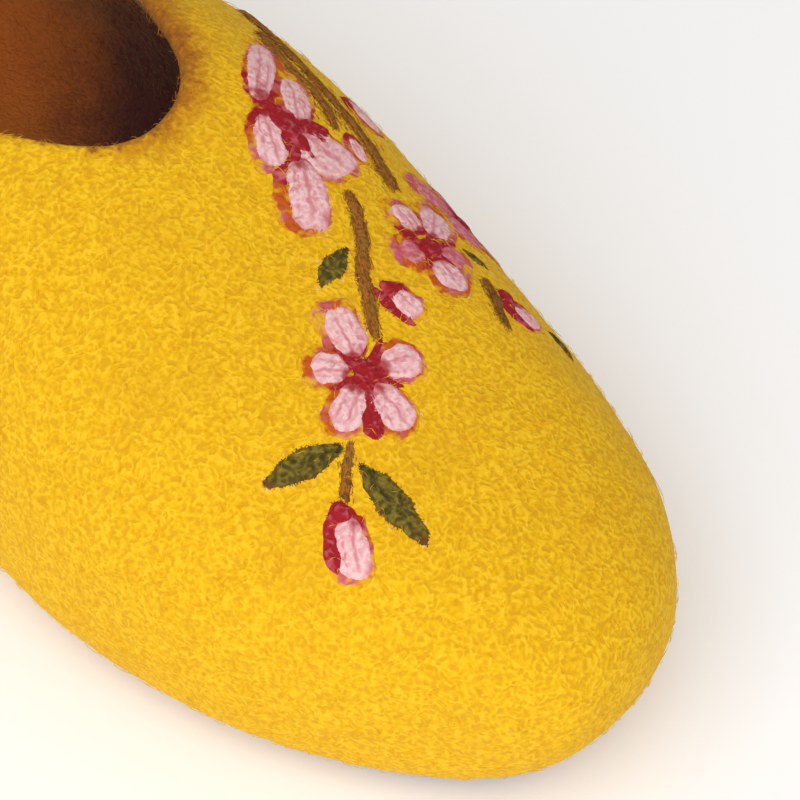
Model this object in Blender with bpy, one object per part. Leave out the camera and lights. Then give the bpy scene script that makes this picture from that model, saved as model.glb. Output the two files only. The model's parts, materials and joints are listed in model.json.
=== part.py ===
"""A wet-felted house slipper for the right foot, with a needle-felted cherry spray on its vamp.

Lengths are in millimetres and MM turns them into Blender's metres. The slipper is drawn with the back
of its heel at station 0, its toe at station LENGTH along +Y, the wearer's right along +X and the floor
at z = 0. An empty then carries every piece so that the origin lies under the middle of the slipper.
"""

import math
from collections import namedtuple

import bmesh
import bpy
import numpy as np

MM = 0.001

# Driving sizes of the slipper
LENGTH = 265.0
BALL_WIDTH = 105.0
INSTEP_HEIGHT = 75.0
HEEL_HEIGHT = 70.0
WALL = 4.5
GAP = 0.3

# Opening, seen from above: stations of its ends and its widest place, its half width there, and how far
# its front lies to the right of the middle
THROAT = 150.0
COLLAR_WIDEST = 92.0
COLLAR_BACK = 10.0
COLLAR_HALF = 27.0
COLLAR_SHIFT = 4.0

# Sole and insole
SOLE_THICK = 4.0
SOLE_EDGE = 1.0
SOLE_INSET = 3.0
INSOLE_THICK = 3.0
INSOLE_CLEAR = 0.8
ARCH_RISE = 1.6
ARCH_START = 85.0
ARCH_END = 160.0
TOE_SPRING = 5.0
TOE_SPRING_START = 205.0
HEEL_LIFT = 1.0
HEEL_LIFT_START = 20.0

# Section shape: exponents of the curves above and below the widest line
ROUND_ABOVE = 2.4
ROUND_BELOW = 2.8

# Sections of the form. Station is a share of the length, right, left and keel shares of the ball width,
# crown a share of the height there and line, the height of the widest line, a share of the instep. Widths
# and heights are those of the ellipse that swells to this section at mid length.
Section = namedtuple("Section", "station right left crown keel line")
FORM = [
    Section(0.00, 0.610, 0.610, 1.600, 0.850, 0.375),
    Section(0.05, 0.545, 0.545, 1.300, 0.700, 0.375),
    Section(0.12, 0.475, 0.475, 0.950, 0.490, 0.360),
    Section(0.30, 0.420, 0.400, 0.720, 0.350, 0.345),
    Section(0.50, 0.495, 0.450, 0.750, 0.290, 0.335),
    Section(0.70, 0.550, 0.500, 0.660, 0.310, 0.320),
    Section(0.86, 0.515, 0.580, 0.640, 0.365, 0.325),
    Section(1.00, 0.370, 0.710, 0.600, 0.600, 0.410),
]

# Columns of the shell run from the sole to the collar. Each pair ties a place on the outline to one on
# the collar, as degrees around from the toe and around from the throat.
COLUMNS = 64
Tie = namedtuple("Tie", "outline collar")
FAN = [Tie(0, 0), Tie(45, 20), Tie(74, 45), Tie(108, 90), Tie(138, 135), Tie(180, 180)]
HEEL_PIVOT = 42.0
TOE_PIVOT = 215.0
RINGS_BELOW = 5
RINGS_ABOVE = 14
RINGS_RIM = 3
RINGS_LINING = 5
CREEP = 1.7
SHORT_OF_SPINE = 0.95
DENSE = 240
SHARP_ANGLE = 50.0

# Cherry spray: each place is a station and a distance around the vamp from its ridge, positive towards
# the inner side of the foot
PETAL_RISE = 1.2
PETAL_EDGE = 0.4
PETAL_POINTS = 12
PETAL_SWELL = 0.3
LEAF_POINT = 0.6
BRANCH_RISE = 1.1
BRANCH_STEP = 4.0

# Steps of a patch's dome as shares of its outline and of its rise, and of the ring under it
DOME_SIZES = (0.8, 0.45)
DOME_RISES = (0.8, 0.97)
BASE_SIZE = 0.5

Blossom = namedtuple("Blossom", "name station around core_along core_around")
BLOSSOMS = [
    Blossom("front_blossom", 203.2, -0.5, 2.3, 2.3),
    Blossom("throat_blossom", 158.0, 20.5, 4.5, 2.5),
    Blossom("side_blossom", 188.3, 27.5, 2.3, 2.1),
    Blossom("far_blossom", 179.5, 49.0, 2.2, 2.2),
]

# Petals around a blossom's centre: direction in degrees from the toe towards the inner side, distances
# of the root and the tip from the centre, and width
Petal = namedtuple("Petal", "blossom direction root tip width")
PETALS = [
    Petal("front_blossom", 166, 3.0, 12.6, 7.2),
    Petal("front_blossom", 231, 2.9, 10.4, 6.8),
    Petal("front_blossom", 300, 2.9, 13.2, 7.2),
    Petal("front_blossom", 355, 3.0, 13.6, 7.4),
    Petal("front_blossom", 73, 2.9, 11.2, 7.6),
    Petal("throat_blossom", 159, 5.8, 17.2, 8.2),
    Petal("throat_blossom", 283, 3.2, 12.4, 8.4),
    Petal("throat_blossom", 329, 6.4, 22.0, 8.2),
    Petal("throat_blossom", 11, 5.4, 13.6, 7.6),
    Petal("throat_blossom", 124, 4.4, 11.0, 4.0),
    Petal("side_blossom", 177, 2.9, 10.6, 5.2),
    Petal("side_blossom", 268, 2.8, 8.6, 5.4),
    Petal("side_blossom", 347, 2.9, 11.2, 6.2),
    Petal("side_blossom", 43, 2.9, 8.2, 4.6),
    Petal("side_blossom", 129, 2.9, 13.0, 6.0),
    Petal("far_blossom", 161, 2.8, 10.4, 6.2),
    Petal("far_blossom", 235, 2.8, 10.4, 6.2),
    Petal("far_blossom", 305, 2.8, 10.4, 6.2),
    Petal("far_blossom", 17, 2.8, 10.4, 6.2),
    Petal("far_blossom", 90, 2.8, 10.4, 6.2),
]
DEEP_PETALS = ("side_blossom_petal_2", "side_blossom_petal_4", "far_blossom_petal_2")

# Buds, calyxes and leaves, each from its root to its tip
Blade = namedtuple("Blade", "name kind root_station root_around tip_station tip_around width")
BLADES = [
    Blade("low_bud_calyx", "calyx", 219.3, -18.2, 222.2, -20.4, 4.8),
    Blade("low_bud", "petal", 222.8, -20.7, 231.0, -25.2, 7.4),
    Blade("middle_bud_calyx", "calyx", 191.0, 13.2, 194.8, 14.0, 4.0),
    Blade("middle_bud", "petal", 195.3, 14.1, 201.0, 15.0, 4.8),
    Blade("side_bud_calyx", "calyx", 199.6, 35.8, 203.0, 36.4, 3.8),
    Blade("side_bud", "petal", 203.5, 36.5, 208.8, 37.8, 5.2),
    Blade("small_bud", "petal", 161.8, 31.2, 168.8, 29.0, 3.6),
    Blade("far_bud", "petal", 150.4, 43.0, 160.0, 43.0, 6.0),
    Blade("twig_leaf", "leaf", 182.6, 12.8, 186.6, 2.6, 5.0),
    Blade("low_leaf_outer", "leaf", 212.4, -14.2, 209.0, -27.0, 6.2),
    Blade("low_leaf_inner", "leaf", 216.8, -11.8, 232.2, -11.0, 6.0),
    Blade("side_leaf", "leaf", 188.4, 36.6, 194.0, 38.8, 3.2),
    Blade("far_leaf", "leaf", 206.4, 42.4, 214.0, 43.0, 3.4),
]

# Branches: half widths at both ends, and the route as stations and distances around
Branch = namedtuple("Branch", "name start_half end_half stations arounds")
BRANCHES = [
    Branch("main_branch", 1.4, 1.0, (124, 132, 140, 147, 154, 160, 166, 171, 175),
           (40, 38.2, 37, 36.4, 35.8, 35.2, 34.2, 32.2, 30.4)),
    Branch("throat_branch", 1.2, 0.9, (134, 140, 146, 152, 157, 160.4),
           (34.4, 32.4, 31.8, 32.2, 30.8, 29.4)),
    Branch("twig", 1.2, 1.0, (173.4, 178, 184, 190, 196, 199.6), (20.6, 18.6, 14.8, 10.2, 7, 4.8)),
    Branch("low_stem", 0.9, 1.0, (213.8, 215.2, 217.0, 218.4), (-9.8, -12.6, -15.4, -17.0)),
    Branch("side_twig", 1.2, 0.8, (197.2, 201.5, 206.0), (33.4, 31.8, 29.6)),
]

# Finishes: base colour, roughness
Finish = namedtuple("Finish", "red green blue roughness")
FINISHES = {
    "yellow_felt": Finish(0.88, 0.52, 0.02, 0.95),
    "brown_suede": Finish(0.16, 0.07, 0.03, 0.90),
    "brown_felt": Finish(0.20, 0.08, 0.03, 0.95),
    "pale_pink_wool": Finish(0.86, 0.54, 0.55, 0.95),
    "deep_pink_wool": Finish(0.62, 0.14, 0.18, 0.95),
    "red_wool": Finish(0.34, 0.01, 0.02, 0.95),
    "olive_wool": Finish(0.15, 0.13, 0.02, 0.95),
    "brown_wool": Finish(0.19, 0.07, 0.02, 0.95),
}


# The form of the shell
def along(column, station):
    """One column of FORM at any station, on a smooth curve through its rows."""
    knots = np.array([row.station for row in FORM]) * LENGTH
    values = np.array([getattr(row, column) for row in FORM])
    slopes = np.gradient(values, knots)
    station = np.clip(np.asarray(station, float), 0.0, LENGTH)
    i = np.clip(np.searchsorted(knots, station, "right") - 1, 0, len(knots) - 2)
    span = knots[i + 1] - knots[i]
    t = (station - knots[i]) / span
    keep = 2 * t**3 - 3 * t**2 + 1
    leave = t**3 - 2 * t**2 + t
    enter = t**3 - t**2
    bend = leave * span * slopes[i] + enter * span * slopes[i + 1]
    return keep * values[i] + (1 - keep) * values[i + 1] + bend


def swell_squared(station):
    """Square of the share of its full section that the form has reached at a station."""
    return 1 - (2 * np.asarray(station, float) / LENGTH - 1) ** 2


def swell(station):
    return np.sqrt(np.maximum(swell_squared(station), 0.0))


def full_half_width(x, station):
    return np.where(x >= 0, along("right", station), along("left", station)) * BALL_WIDTH


def full_crown(station):
    height = np.interp(station, (0, THROAT), (HEEL_HEIGHT, INSTEP_HEIGHT))
    return along("crown", station) * height


def full_keel(station):
    return along("keel", station) * BALL_WIDTH


def widest_line(station):
    return along("line", station) * INSTEP_HEIGHT


def section_height(x, station, full_height, power):
    """Height of a section's curve over its widest line at a distance across."""
    half = np.maximum(full_half_width(x, station) * swell(station), 1e-9)
    share = np.clip(np.abs(x) / half, 0, 1)
    return full_height * swell(station) * (1 - share**power) ** (1 / power)


def top_of_form(x, station):
    return widest_line(station) + section_height(x, station, full_crown(station), ROUND_ABOVE)


def under_of_form(x, station):
    return widest_line(station) - section_height(x, station, full_keel(station), ROUND_BELOW)


def level(points):
    """Below zero inside the form, zero on its surface, above zero outside."""
    x = points[..., 0]
    station = points[..., 1]
    rise = points[..., 2] - widest_line(station)
    across = np.abs(x) / full_half_width(x, station)
    power = np.where(rise >= 0, ROUND_ABOVE, ROUND_BELOW)
    upright = np.abs(rise) / np.where(rise >= 0, full_crown(station), full_keel(station))
    return (across**power + upright**power) ** (2 / power) - swell_squared(station)


def normals(points, probe=0.05):
    """Unit outward normals of the form."""
    steps = np.eye(3) * probe
    slope = np.stack([level(points + step) - level(points - step) for step in steps], axis=-1)
    return slope / np.linalg.norm(slope, axis=-1, keepdims=True)


def tread(station):
    """Height of the sole's underside: flat heel and forefoot, an arch between and a sprung toe."""
    station = np.asarray(station, float)
    turn = np.clip((station - ARCH_START) / (ARCH_END - ARCH_START), 0, 1)
    arch = ARCH_RISE * (1 - np.cos(2 * math.pi * turn)) / 2
    toe = np.clip((station - TOE_SPRING_START) / (LENGTH - TOE_SPRING_START), 0, 1)
    heel = np.clip((HEEL_LIFT_START - station) / HEEL_LIFT_START, 0, 1)
    return arch + TOE_SPRING * toe**2 + HEEL_LIFT * heel**2


def seat(station):
    """Height at which the shell and the insole stand over the sole."""
    return tread(station) + SOLE_THICK + GAP


# Loops and paths of the shell
def outline_angles():
    return np.arange(COLUMNS) * 2 * math.pi / COLUMNS


def widest_loop():
    angle = outline_angles()
    station = LENGTH * (1 + np.cos(angle)) / 2
    side = np.sin(angle)
    x = full_half_width(side, station) * side
    return np.stack([x, station, widest_line(station)], axis=-1)


def collar_loop():
    folded = np.degrees(np.abs((outline_angles() + math.pi) % (2 * math.pi) - math.pi))
    turn = np.radians(np.interp(folded, [tie.outline for tie in FAN], [tie.collar for tie in FAN]))
    reach = np.where(np.cos(turn) >= 0, THROAT - COLLAR_WIDEST, COLLAR_WIDEST - COLLAR_BACK)
    side = np.where(outline_angles() <= math.pi, 1.0, -1.0)
    shift = COLLAR_SHIFT * np.clip(1 + np.cos(turn), 0, 1)
    x = shift + side * COLLAR_HALF * np.sin(turn)
    station = COLLAR_WIDEST + reach * np.cos(turn)
    return np.stack([x, station, top_of_form(x, station)], axis=-1)


def plan_paths(start, end, shares, height):
    """Paths straight in plan from one loop towards another, one for each column, on a height function."""
    plan = start[None, :, :2] + (end - start)[None, :, :2] * shares[:, None, None]
    z = height(plan[..., 0], plan[..., 1])
    return np.concatenate([plan, z[..., None]], axis=-1)


def first_crossing(paths, height_over):
    """Place on each path, as a row number with a fraction, where height_over first falls to zero."""
    rows = []
    for column in range(paths.shape[1]):
        over = height_over[:, column]
        below = int(np.argmax(over <= 0))
        rows.append(below - 1 + over[below - 1] / (over[below - 1] - over[below]))
    return np.array(rows)


def evenly(path, last_row, count):
    """Points at even distances along one path, from its start to a fractional row."""
    whole = int(math.floor(last_row))
    end = path[whole] + (path[whole + 1] - path[whole]) * (last_row - whole)
    kept = np.vstack([path[: whole + 1], end])
    gone = np.concatenate([[0.0], np.cumsum(np.linalg.norm(np.diff(kept, axis=0), axis=1))])
    stops = np.linspace(0, gone[-1], count + 1)
    return np.stack([np.interp(stops, gone, kept[:, axis]) for axis in range(3)], axis=-1)


def rings_down(paths, count, over):
    """Rings from the start of the paths down to the height that over gives, in count steps."""
    height_over = paths[..., 2] - over(paths[..., 1])
    rows = first_crossing(paths, height_over)
    columns = [evenly(paths[:, c], rows[c], count) for c in range(paths.shape[1])]
    return np.stack(columns, axis=1)


def shell_rings():
    """Closed stack of rings around the shell's wall, with the ring numbers of its two feet."""
    widest = widest_loop()
    collar = collar_loop()
    spine = widest.copy()
    spine[:, 0] = 0.0
    spine[:, 1] = np.clip(widest[:, 1], HEEL_PIVOT, TOE_PIVOT)

    above = plan_paths(widest, collar, np.linspace(0, 1, RINGS_ABOVE + 1) ** CREEP, top_of_form)
    below = plan_paths(widest, spine, np.linspace(0, SHORT_OF_SPINE, DENSE) ** CREEP, under_of_form)
    outer_below = rings_down(below, RINGS_BELOW, seat)
    lining = below - WALL * normals(below)
    inner_below = rings_down(lining, RINGS_LINING, seat)
    inner_above = above - WALL * normals(above)

    out = normals(above[-1])
    towards = above[-1] - above[-2]
    towards -= out * np.sum(towards * out, axis=-1, keepdims=True)
    towards /= np.linalg.norm(towards, axis=-1, keepdims=True)
    middle = (above[-1] + inner_above[-1]) / 2
    rim = []
    for step in range(1, RINGS_RIM + 1):
        turn = math.pi * step / (RINGS_RIM + 1)
        rim.append(middle + WALL / 2 * (math.cos(turn) * out + math.sin(turn) * towards))

    rings = [*outer_below[::-1], *above[1:], *rim, *inner_above[::-1], *inner_below[1:]]
    return rings, outer_below[-1], inner_below


def inset(loop, distance):
    """A loop moved inwards in plan by a distance."""
    run = np.roll(loop, -1, axis=0) - np.roll(loop, 1, axis=0)
    inward = np.stack([-run[:, 1], run[:, 0]], axis=-1)
    inward /= np.linalg.norm(inward, axis=-1, keepdims=True)
    centre = loop[:, :2].mean(axis=0)
    if np.sum(inward * (centre - loop[:, :2])) < 0:
        inward = -inward
    moved = loop.copy()
    moved[:, :2] += inward * distance
    return moved


# Meshes
def skin(bm, rings, closed):
    """Faces between neighbouring rings of equal length, and between the last and first if closed."""
    made = [[bm.verts.new(point * MM) for point in ring] for ring in rings]
    pairs = list(zip(made, made[1:] + made[:1])) if closed else list(zip(made, made[1:]))
    for lower, upper in pairs:
        for i in range(len(lower)):
            n = (i + 1) % len(lower)
            bm.faces.new((lower[i], lower[n], upper[n], upper[i]))
    return made


def cap_across(bm, ring):
    """Strips across a ring whose first point is the toe and whose middle point is the heel."""
    half = len(ring) // 2
    for i in range(half):
        corners = [ring[i], ring[i + 1], ring[-(i + 1)], ring[-i]]
        unique = [v for k, v in enumerate(corners) if v not in corners[:k]]
        bm.faces.new(unique)


def cap_to_point(bm, ring, point):
    middle = bm.verts.new(point * MM)
    for i in range(len(ring)):
        bm.faces.new((ring[i], ring[(i + 1) % len(ring)], middle))


def material(name):
    if name in bpy.data.materials:
        return bpy.data.materials[name]
    finish = FINISHES[name]
    made = bpy.data.materials.new(name)
    made.use_nodes = True
    shader = made.node_tree.nodes["Principled BSDF"]
    shader.inputs["Base Color"].default_value = (finish.red, finish.green, finish.blue, 1.0)
    shader.inputs["Roughness"].default_value = finish.roughness
    shader.inputs["Metallic"].default_value = 0.0
    return made


def finish_piece(bm, name, finish, parent):
    bmesh.ops.recalc_face_normals(bm, faces=bm.faces[:])
    mesh = bpy.data.meshes.new(name)
    bm.to_mesh(mesh)
    bm.free()
    mesh.shade_smooth()
    mesh.set_sharp_from_angle(angle=math.radians(SHARP_ANGLE))
    mesh.materials.append(material(finish))
    piece = bpy.data.objects.new(name, mesh)
    bpy.context.scene.collection.objects.link(piece)
    piece.parent = parent
    return piece


# Upper, sole and insole
def make_upper(rings, parent):
    bm = bmesh.new()
    skin(bm, rings, closed=True)
    return finish_piece(bm, "upper", "yellow_felt", parent)


def make_sole(foot, parent):
    top = inset(foot, SOLE_INSET)
    top[:, 2] = seat(top[:, 1]) - GAP
    edge = top.copy()
    edge[:, 2] = tread(edge[:, 1]) + SOLE_EDGE
    ground = inset(top, SOLE_EDGE)
    ground[:, 2] = tread(ground[:, 1])
    bm = bmesh.new()
    loops = skin(bm, [top, edge, ground], closed=False)
    cap_across(bm, loops[0])
    cap_across(bm, loops[-1])
    return finish_piece(bm, "sole", "brown_suede", parent)


def loop_at(lining, lift):
    """Loop around the lining's foot at a height over the seat, clear of the wall."""
    columns = []
    for c in range(lining.shape[1]):
        path = lining[::-1, c]
        over = path[:, 2] - seat(path[:, 1])
        columns.append([np.interp(lift, over, path[:, axis]) for axis in range(3)])
    return inset(np.array(columns), INSOLE_CLEAR)


def make_insole(lining, parent):
    lifts = (0.0, INSOLE_THICK / 2, INSOLE_THICK)
    bm = bmesh.new()
    loops = skin(bm, [loop_at(lining, lift) for lift in lifts], closed=False)
    cap_across(bm, loops[0])
    cap_across(bm, loops[-1])
    return finish_piece(bm, "insole", "brown_felt", parent)


# Cherry spray
def on_form(place, lift):
    """Point over the shell at a station and a distance around from the ridge, lifted off the surface."""
    station, around = place
    turn = np.linspace(0, math.pi, DENSE)
    share = np.sign(np.cos(turn)) * np.abs(np.cos(turn)) ** (2 / ROUND_ABOVE)
    x = full_half_width(share, station) * swell(station) * share
    z = top_of_form(x, station)
    gone = np.concatenate([[0.0], np.cumsum(np.hypot(np.diff(x), np.diff(z)))])
    gone -= np.interp(0, -x, gone)
    point = np.array([np.interp(around, gone, x), station, np.interp(around, gone, z)])
    return point + lift * normals(point[None])[0]


def petal_outline(share):
    """Half width of a petal over its greatest, by angle around it: narrow at the root, full at the tip."""
    return math.sin(share) * (1 - PETAL_SWELL * math.cos(share)) / math.hypot(1, PETAL_SWELL)


def leaf_outline(share):
    """Half width of a leaf over its greatest, by angle around it: drawn out to points at both ends."""
    return math.sin(share) * abs(math.sin(share)) ** LEAF_POINT


def blade_outline(root, tip, width, half_width):
    """Closed outline from root to tip and back, as stations and distances around."""
    root = np.array(root)
    run = np.array(tip) - root
    aside = np.array([-run[1], run[0]]) / np.linalg.norm(run)
    points = []
    for i in range(PETAL_POINTS):
        angle = 2 * math.pi * i / PETAL_POINTS
        points.append(root + run * (1 - math.cos(angle)) / 2 + aside * width / 2 * half_width(angle))
    return np.array(points)


def core_outline(blossom):
    points = []
    for i in range(PETAL_POINTS):
        angle = 2 * math.pi * i / PETAL_POINTS
        reach = np.array([blossom.core_along * math.cos(angle), blossom.core_around * math.sin(angle)])
        points.append(np.array([blossom.station, blossom.around]) + reach)
    return np.array(points)


def make_pad(name, outline, finish, parent):
    """A domed patch of wool that follows the shell under it."""
    middle = outline.mean(axis=0)
    layers = [(BASE_SIZE, 0.0), (1.0, 0.0), (1.0, PETAL_EDGE)]
    layers += [(size, rise * PETAL_RISE) for size, rise in zip(DOME_SIZES, DOME_RISES)]
    rings = []
    for size, rise in layers:
        ring = middle + (outline - middle) * size
        rings.append([on_form(place, GAP + rise) for place in ring])
    bm = bmesh.new()
    loops = skin(bm, rings, closed=False)
    cap_to_point(bm, loops[0], on_form(middle, GAP))
    cap_to_point(bm, loops[-1], on_form(middle, GAP + PETAL_RISE))
    return finish_piece(bm, name, finish, parent)


def make_blossoms(parent):
    for blossom in BLOSSOMS:
        make_pad(blossom.name + "_centre", core_outline(blossom), "red_wool", parent)
        middle = np.array([blossom.station, blossom.around])
        own = [petal for petal in PETALS if petal.blossom == blossom.name]
        for number, petal in enumerate(own, start=1):
            angle = math.radians(petal.direction)
            ray = np.array([math.cos(angle), math.sin(angle)])
            root = middle + ray * petal.root
            outline = blade_outline(root, middle + ray * petal.tip, petal.width, petal_outline)
            name = f"{blossom.name}_petal_{number}"
            finish = "deep_pink_wool" if name in DEEP_PETALS else "pale_pink_wool"
            make_pad(name, outline, finish, parent)


def make_blades(parent):
    shapes = {"petal": petal_outline, "calyx": petal_outline, "leaf": leaf_outline}
    finishes = {"petal": "pale_pink_wool", "calyx": "red_wool", "leaf": "olive_wool"}
    for blade in BLADES:
        root = (blade.root_station, blade.root_around)
        tip = (blade.tip_station, blade.tip_around)
        outline = blade_outline(root, tip, blade.width, shapes[blade.kind])
        make_pad(blade.name, outline, finishes[blade.kind], parent)


def smooth_route(branch):
    """Even steps on a smooth curve through a branch's route."""
    knots = np.array([branch.stations, branch.arounds], float).T
    gone = np.concatenate([[0.0], np.cumsum(np.linalg.norm(np.diff(knots, axis=0), axis=1))])
    slopes = np.gradient(knots, gone, axis=0)
    stops = np.linspace(0, gone[-1], max(3, round(gone[-1] / BRANCH_STEP)) + 1)
    route = []
    for stop in stops:
        i = min(int(np.searchsorted(gone, stop, "right")) - 1, len(gone) - 2)
        span = gone[i + 1] - gone[i]
        t = (stop - gone[i]) / span
        keep = 2 * t**3 - 3 * t**2 + 1
        bend = (t**3 - 2 * t**2 + t) * span * slopes[i] + (t**3 - t**2) * span * slopes[i + 1]
        route.append(keep * knots[i] + (1 - keep) * knots[i + 1] + bend)
    return np.array(route)


def make_branch(branch, parent):
    route = smooth_route(branch)
    run = np.gradient(route, axis=0)
    aside = np.stack([-run[:, 1], run[:, 0]], axis=-1)
    aside /= np.linalg.norm(aside, axis=-1, keepdims=True)
    halves = np.linspace(branch.start_half, branch.end_half, len(route))
    profile = [(-1.0, 0.0), (1.0, 0.0), (1.0, PETAL_EDGE), (0.0, BRANCH_RISE), (-1.0, PETAL_EDGE)]
    rings = []
    for place, across, half in zip(route, aside, halves):
        rings.append([on_form(place + across * half * share, GAP + rise) for share, rise in profile])
    bm = bmesh.new()
    loops = skin(bm, rings, closed=False)
    bm.faces.new(loops[0])
    bm.faces.new(loops[-1])
    return finish_piece(bm, branch.name, "brown_wool", parent)


def main():
    for old in list(bpy.data.objects):
        bpy.data.objects.remove(old, do_unlink=True)
    rings, foot, lining = shell_rings()
    wall = np.concatenate(rings)
    slipper = bpy.data.objects.new("slipper", None)
    bpy.context.scene.collection.objects.link(slipper)
    middle_x = (wall[:, 0].min() + wall[:, 0].max()) / 2
    slipper.location = (-middle_x * MM, -LENGTH / 2 * MM, 0.0)

    make_upper(rings, slipper)
    make_sole(foot, slipper)
    make_insole(lining, slipper)
    make_blossoms(slipper)
    make_blades(slipper)
    for branch in BRANCHES:
        make_branch(branch, slipper)


main()
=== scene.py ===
"""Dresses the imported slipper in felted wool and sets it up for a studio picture.

The shell gets a wet-felted skin with strands and stray hairs on it, and the cherry spray becomes wool
that is needled into that skin. Everything is in metres, in the frame of the CAD model.
"""

import json
import math
from collections import namedtuple
from functools import partialmethod

import bmesh
import bpy
import numpy as np
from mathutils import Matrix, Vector, noise
from mathutils.bvhtree import BVHTree
from mathutils.kdtree import KDTree


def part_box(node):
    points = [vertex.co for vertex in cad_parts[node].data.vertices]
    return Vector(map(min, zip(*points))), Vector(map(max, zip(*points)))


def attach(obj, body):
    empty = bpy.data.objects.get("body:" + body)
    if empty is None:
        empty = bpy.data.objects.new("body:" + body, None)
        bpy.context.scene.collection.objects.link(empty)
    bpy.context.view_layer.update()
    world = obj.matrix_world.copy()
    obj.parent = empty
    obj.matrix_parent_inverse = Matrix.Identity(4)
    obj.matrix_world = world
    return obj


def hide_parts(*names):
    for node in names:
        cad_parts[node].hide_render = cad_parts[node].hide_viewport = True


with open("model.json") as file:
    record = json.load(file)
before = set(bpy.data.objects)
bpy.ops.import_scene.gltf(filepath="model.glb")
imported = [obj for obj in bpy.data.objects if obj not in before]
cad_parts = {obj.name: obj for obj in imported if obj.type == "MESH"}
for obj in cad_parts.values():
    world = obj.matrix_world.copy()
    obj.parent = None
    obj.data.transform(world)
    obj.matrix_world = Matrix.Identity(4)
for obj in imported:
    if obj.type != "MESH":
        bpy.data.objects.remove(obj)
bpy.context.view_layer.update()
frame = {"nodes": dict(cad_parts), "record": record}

# Without a seed, noise vectors follow the clock and no two runs agree
NOISE_SEED = 5
noise.seed_set(NOISE_SEED)

bl_info = {
    "name": "Felt slipper",
    "version": (1, 0, 0),
    "blender": (4, 5, 0),
    "location": "3D View > Sidebar > Slipper",
    "description": "Dresses a slipper in felted wool with a needled cherry spray",
    "category": "Object",
}

MM = 0.001
CM_IN_M = 100
TINY = 1e-12
WELD = 0.001 * MM
QUAD_ANGLE = math.radians(60)
SMOOTH_LEVELS = 2
SLOTS = {part["node"]: part["material_slot"] for part in frame["record"]["subparts"]}
WHITE = (1.0, 1.0, 1.0)
STILL = (0.0, 0.0, 0.0)


def mm(*lengths):
    """Lengths in millimetres, as metres."""
    return tuple(length * MM for length in lengths)


def of_petals(blossom, rows):
    """Rows for some petals of a blossom, under the names of their nodes."""
    return {f"{blossom}_petal_{number}": row for number, row in rows.items()}


# Foot room that the lining faces: from heel to toe along Y, and its middle height
FOOT_ROOM = mm(-100, 95)
FOOT_ROOM_HEIGHT = 32 * MM

# Edge of the collar: its lowest height, how little it faces in or out, and how soon its hairs thin out
COLLAR_LOW = 40 * MM
COLLAR_TURN = 0.12
RIM_HAIR_SPREAD = 2.0

# Most that the outer skin faces the foot room, least that the lining does, and how far each faces down
OUTER_TURN, OUTER_DOWN = 0.1, -0.9
LINING_TURN, LINING_DOWN = 0.3, -0.8

# Way over the slipper to the toe and the inner side
TOE_WARD = np.array((-0.77, 0.64, 0.0))

SOLE_BEVEL = 0.8 * MM
INSOLE_BEVEL = 0.6 * MM
SHARP_ANGLE = math.radians(40)

# Takes the insole's edge into the lining, so that no gap shows
INSOLE_STRETCH = (1.02, 1.007, 1.0)

# Soft pushes that shape the shell: middle, reach and move of each
Push = namedtuple("Push", "middle reach move")
PUSHES = (
    Push(mm(-48, 54, 45), 15 * MM, mm(1.1, -1.6, 0)),
    Push(mm(12, 9, 77), 18 * MM, mm(-0.9, -1.1, 0.8)),
    Push(mm(-2, 16, 78), 8 * MM, mm(0.2, -1, 0)),
    Push(mm(-14, 7, 79), 8 * MM, mm(-0.8, 0.6, 0)),
    Push(mm(-3, -119, 67), 9 * MM, mm(0, 0, 4.5)),
)

# Strands: the spread of their sizes around the mean, and where their four points are along them
STRAND_CORNERS = 8
SIZE_SPREAD = (0.6, 1.4)
MOST_BEND = 0.45
POINT_SHARES = np.array((-0.5, -0.18, 0.18, 0.5)).reshape(1, 4, 1)

# Heights of those points: matted into the felt, loose at one end, or standing free
MATTED = mm(-0.14, 0, 0, -0.14)
LOOSE = mm(-0.1, 0.2, 0.35, 0.5)
FREE = mm(-0.1, 0.3, 0.6, 0.9)

# Edges along the two sides of a strand, by the numbers of its corners
SHARP_SIDES = ((0, 1), (1, 4), (4, 7), (0, 2), (2, 5), (5, 7))

# Coats of strands: seed of the random draws, length and width over the usual, how far apart swirls are, how
# loosely strands follow them, heights of a strand, and how its tone is drawn, if it isn't 0
Coat = namedtuple("Coat", "seed longer wider swirl loose heights draw tones")
normal, uniform = np.random.Generator.normal, np.random.Generator.uniform
COATS = {
    "felt_strands_under": Coat(20, 1.0, 1.0, 9 * MM, 0.35, MATTED, normal, (0.15, 0.15)),
    "felt_strands_over": Coat(21, 1.9, 0.55, 9 * MM, 0.35, MATTED, normal, (0.4, 0.15)),
    "stray_hairs": Coat(40, 1.0, 1.0, 9 * MM, 0.6, LOOSE, uniform, (0.2, 0.6)),
    "rim_hairs": Coat(45, 0.7, 1.0, 5 * MM, 1.0, FREE, uniform, (-0.2, 0.5)),
    "lining_strands": Coat(50, 1.2, 1.2, 9 * MM, 0.35, MATTED, None, None),
}
LINING_SHARES = (0.7, 0.3)
SPRAY_SEED = 60

# Way that each kind of patch is needled in: growth of its outline, share of its height that stays, lift
# over the felt, how square its outline gets, where 2 is round, and how much its root widens
Needling = namedtuple("Needling", "grow flatten lift square root")
NEEDLING = {
    "pale_pink_wool": Needling(0.0, 0.42, -0.12 * MM, 2.4, 0.25),
    "deep_pink_wool": Needling(0.0, 0.40, -0.12 * MM, 2.4, 0.25),
    "red_wool": Needling(0.1 * MM, 0.60, -0.12 * MM, 2.0, 0.0),
    "olive_wool": Needling(-0.3 * MM, 0.36, -0.10 * MM, 1.8, 0.0),
}
STREAK = Needling(0.0, 0.28, 0.02 * MM, 2.0, 0.0)
BUD = Needling(-0.1 * MM, 0.48, -0.12 * MM, 2.0, 0.0)
BLUSH = Needling(0.0, 0.18, 0.05 * MM, 2.4, 0.3)
BLUSH_RAGGED = 1.5

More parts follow.
